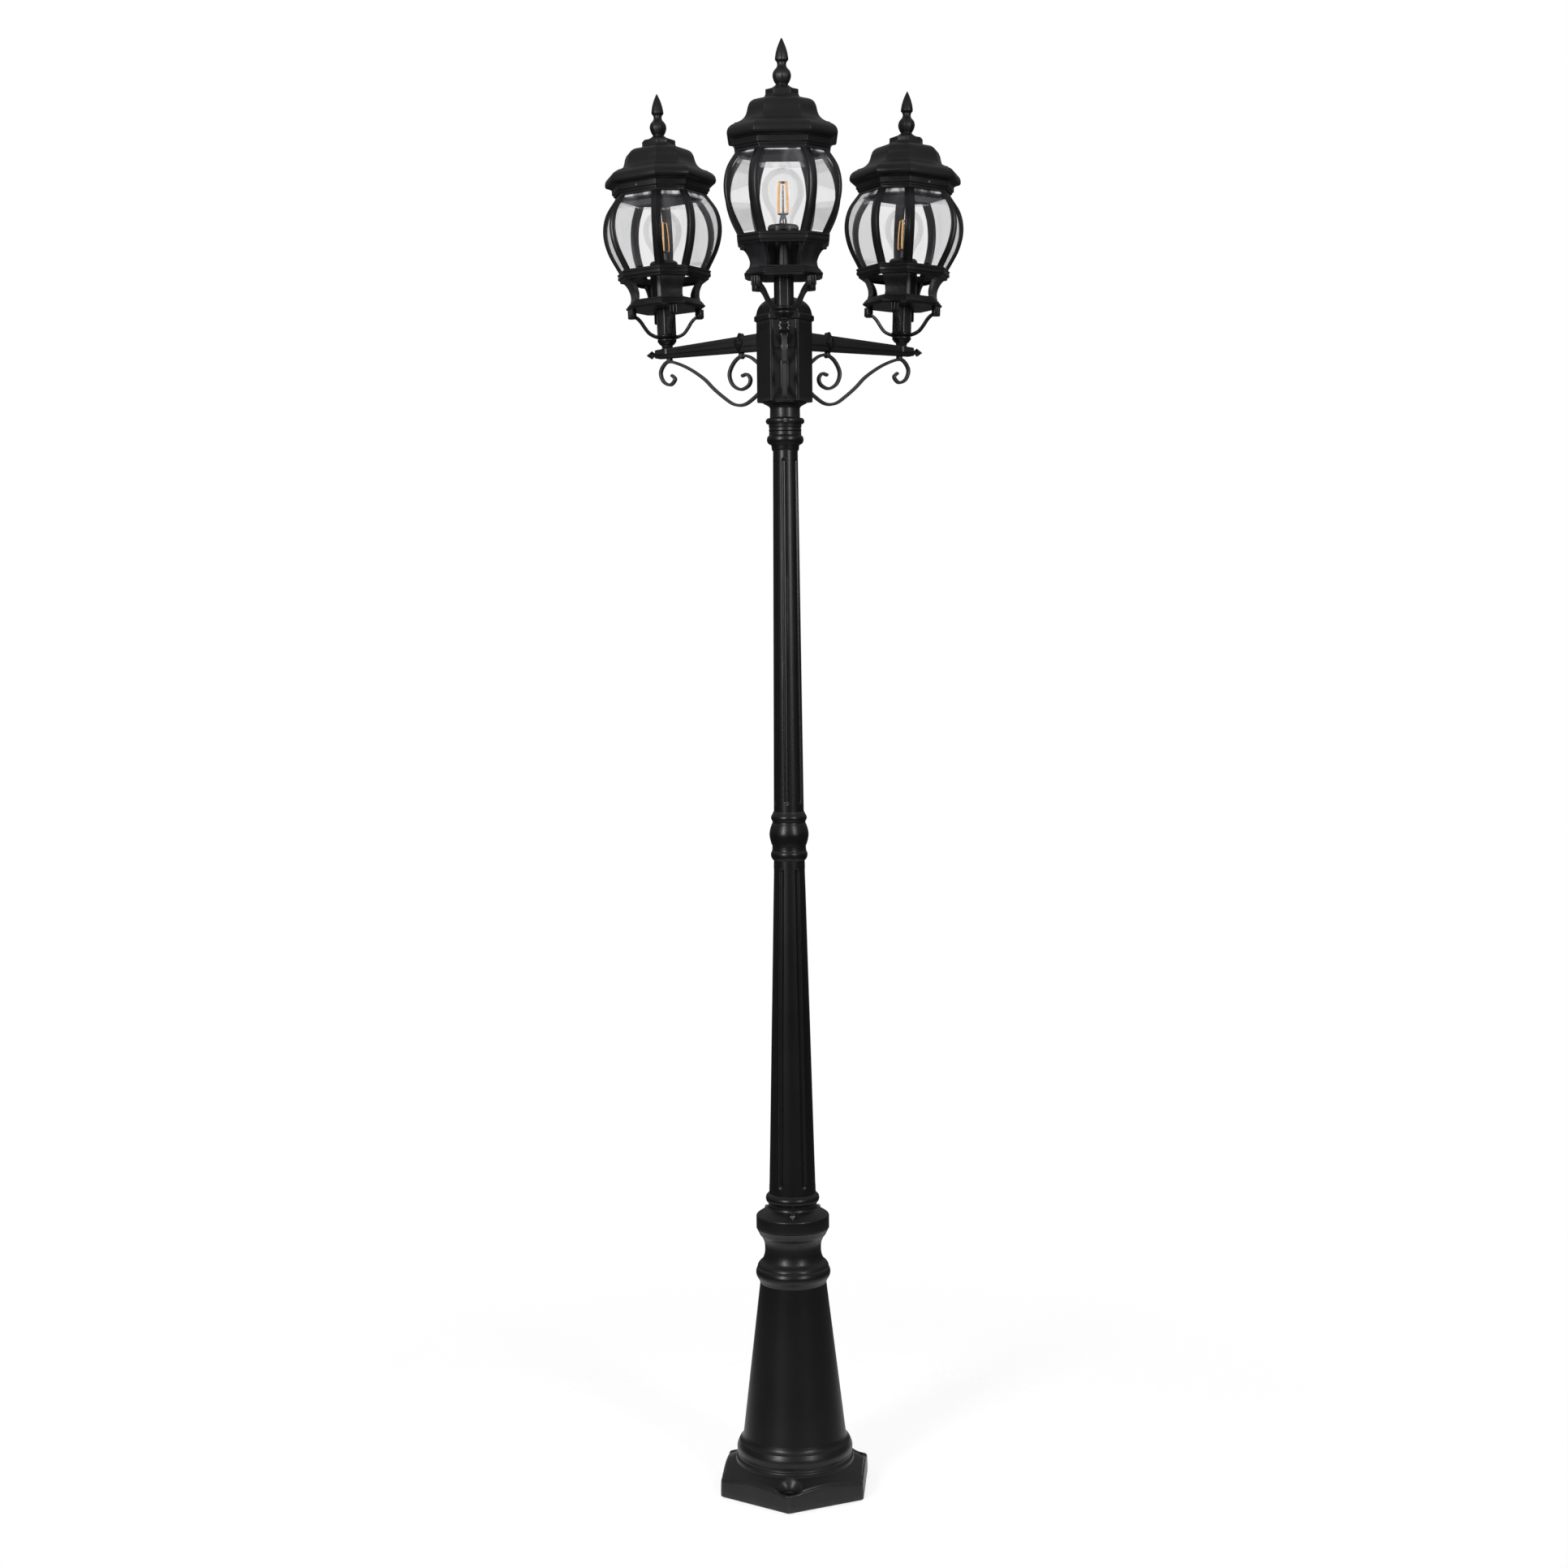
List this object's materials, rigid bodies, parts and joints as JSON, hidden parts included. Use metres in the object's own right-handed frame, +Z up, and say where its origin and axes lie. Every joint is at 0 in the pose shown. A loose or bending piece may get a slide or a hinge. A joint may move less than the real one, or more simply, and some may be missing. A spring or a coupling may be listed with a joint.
{
  "type": "street lamp post",
  "caption": "Garden street lamp post with a fluted tapering shaft on a hexagonal base and glazed octagonal lanterns on scrolled arms around a hub.",
  "frame": {"origin": "centre of the three base bolts, on the ground", "axes": "+Z up along the post, -Y towards the front arm"},
  "size_m": [0.5588, 0.4988, 2.1548],
  "materials": {
    "black_casting": "satin",
    "dark_plastic": "matte",
    "screw_steel": "satin",
    "pane_glass": "polished",
    "bulb_glass": "polished",
    "bulb_cap": "satin",
    "filament": "satin",
    "holder_plastic": "satin"
  },
  "bodies": {
    "post": {"base_casting": "black_casting", "cable_gland": "dark_plastic", "shaft_foot": "black_casting", "joint_screws": "screw_steel", "lower_shaft": "black_casting", "mid_coupling": "black_casting", "upper_shaft": "black_casting", "shaft_ferrule": "black_casting"},
    "head": {"head_socket": "black_casting", "head_set_screw": "screw_steel", "hub_body": "black_casting", "hub_cap": "black_casting", "terminal_block": "dark_plastic", "arm_bolts": "screw_steel", "front_arm": "black_casting", "front_scroll": "black_casting", "front_leaf_collar": "black_casting", "front_basket": "black_casting", "front_stem": "black_casting", "front_gallery": "black_casting", "front_cage": "black_casting", "front_glass": "pane_glass", "front_lampholder": "holder_plastic", "left_arm": "black_casting", "left_scroll": "black_casting", "left_leaf_collar": "black_casting", "left_basket": "black_casting", "left_stem": "black_casting", "left_gallery": "black_casting", "left_cage": "black_casting", "left_glass": "pane_glass", "left_lampholder": "holder_plastic", "right_arm": "black_casting", "right_scroll": "black_casting", "right_leaf_collar": "black_casting", "right_basket": "black_casting", "right_stem": "black_casting", "right_gallery": "black_casting", "right_cage": "black_casting", "right_glass": "pane_glass", "right_lampholder": "holder_plastic"},
    "front_roof": {"front_roof": "black_casting", "front_finial": "black_casting", "front_roof_screws": "screw_steel"},
    "front_bulb": {"front_bulb_glass": "bulb_glass", "front_bulb_cap": "bulb_cap", "front_filaments": "filament"},
    "left_roof": {"left_roof": "black_casting", "left_finial": "black_casting", "left_roof_screws": "screw_steel"},
    "left_bulb": {"left_bulb_glass": "bulb_glass", "left_bulb_cap": "bulb_cap", "left_filaments": "filament"},
    "right_roof": {"right_roof": "black_casting", "right_finial": "black_casting", "right_roof_screws": "screw_steel"},
    "right_bulb": {"right_bulb_glass": "bulb_glass", "right_bulb_cap": "bulb_cap", "right_filaments": "filament"}
  },
  "joints": [
    {"name": "head_turn", "type": "hinge", "parent": "post", "child": "head", "pos_m": [0, 0, 1.627], "axis": [0, 0, 1], "range_deg": [-180, 180]},
    {"name": "front_roof_lift", "type": "slide", "parent": "head", "child": "front_roof", "axis": [0, -0.0349, 0.9994], "range_m": [0, 0.12]},
    {"name": "front_bulb_turn", "type": "hinge", "parent": "head", "child": "front_bulb", "pos_m": [0, -0.2097, 1.767], "axis": [0, -0.0349, 0.9994], "range_deg": [0, 900]},
    {"name": "left_roof_lift", "type": "slide", "parent": "head", "child": "left_roof", "axis": [-0.0302, 0.0174, 0.9994], "range_m": [0, 0.12]},
    {"name": "left_bulb_turn", "type": "hinge", "parent": "head", "child": "left_bulb", "pos_m": [-0.18161, 0.10485, 1.767], "axis": [-0.0302, 0.0174, 0.9994], "range_deg": [0, 900]},
    {"name": "right_roof_lift", "type": "slide", "parent": "head", "child": "right_roof", "axis": [0.0302, 0.0174, 0.9994], "range_m": [0, 0.12]},
    {"name": "right_bulb_turn", "type": "hinge", "parent": "head", "child": "right_bulb", "pos_m": [0.18161, 0.10485, 1.767], "axis": [0.0302, 0.0174, 0.9994], "range_deg": [0, 900]}
  ]
}
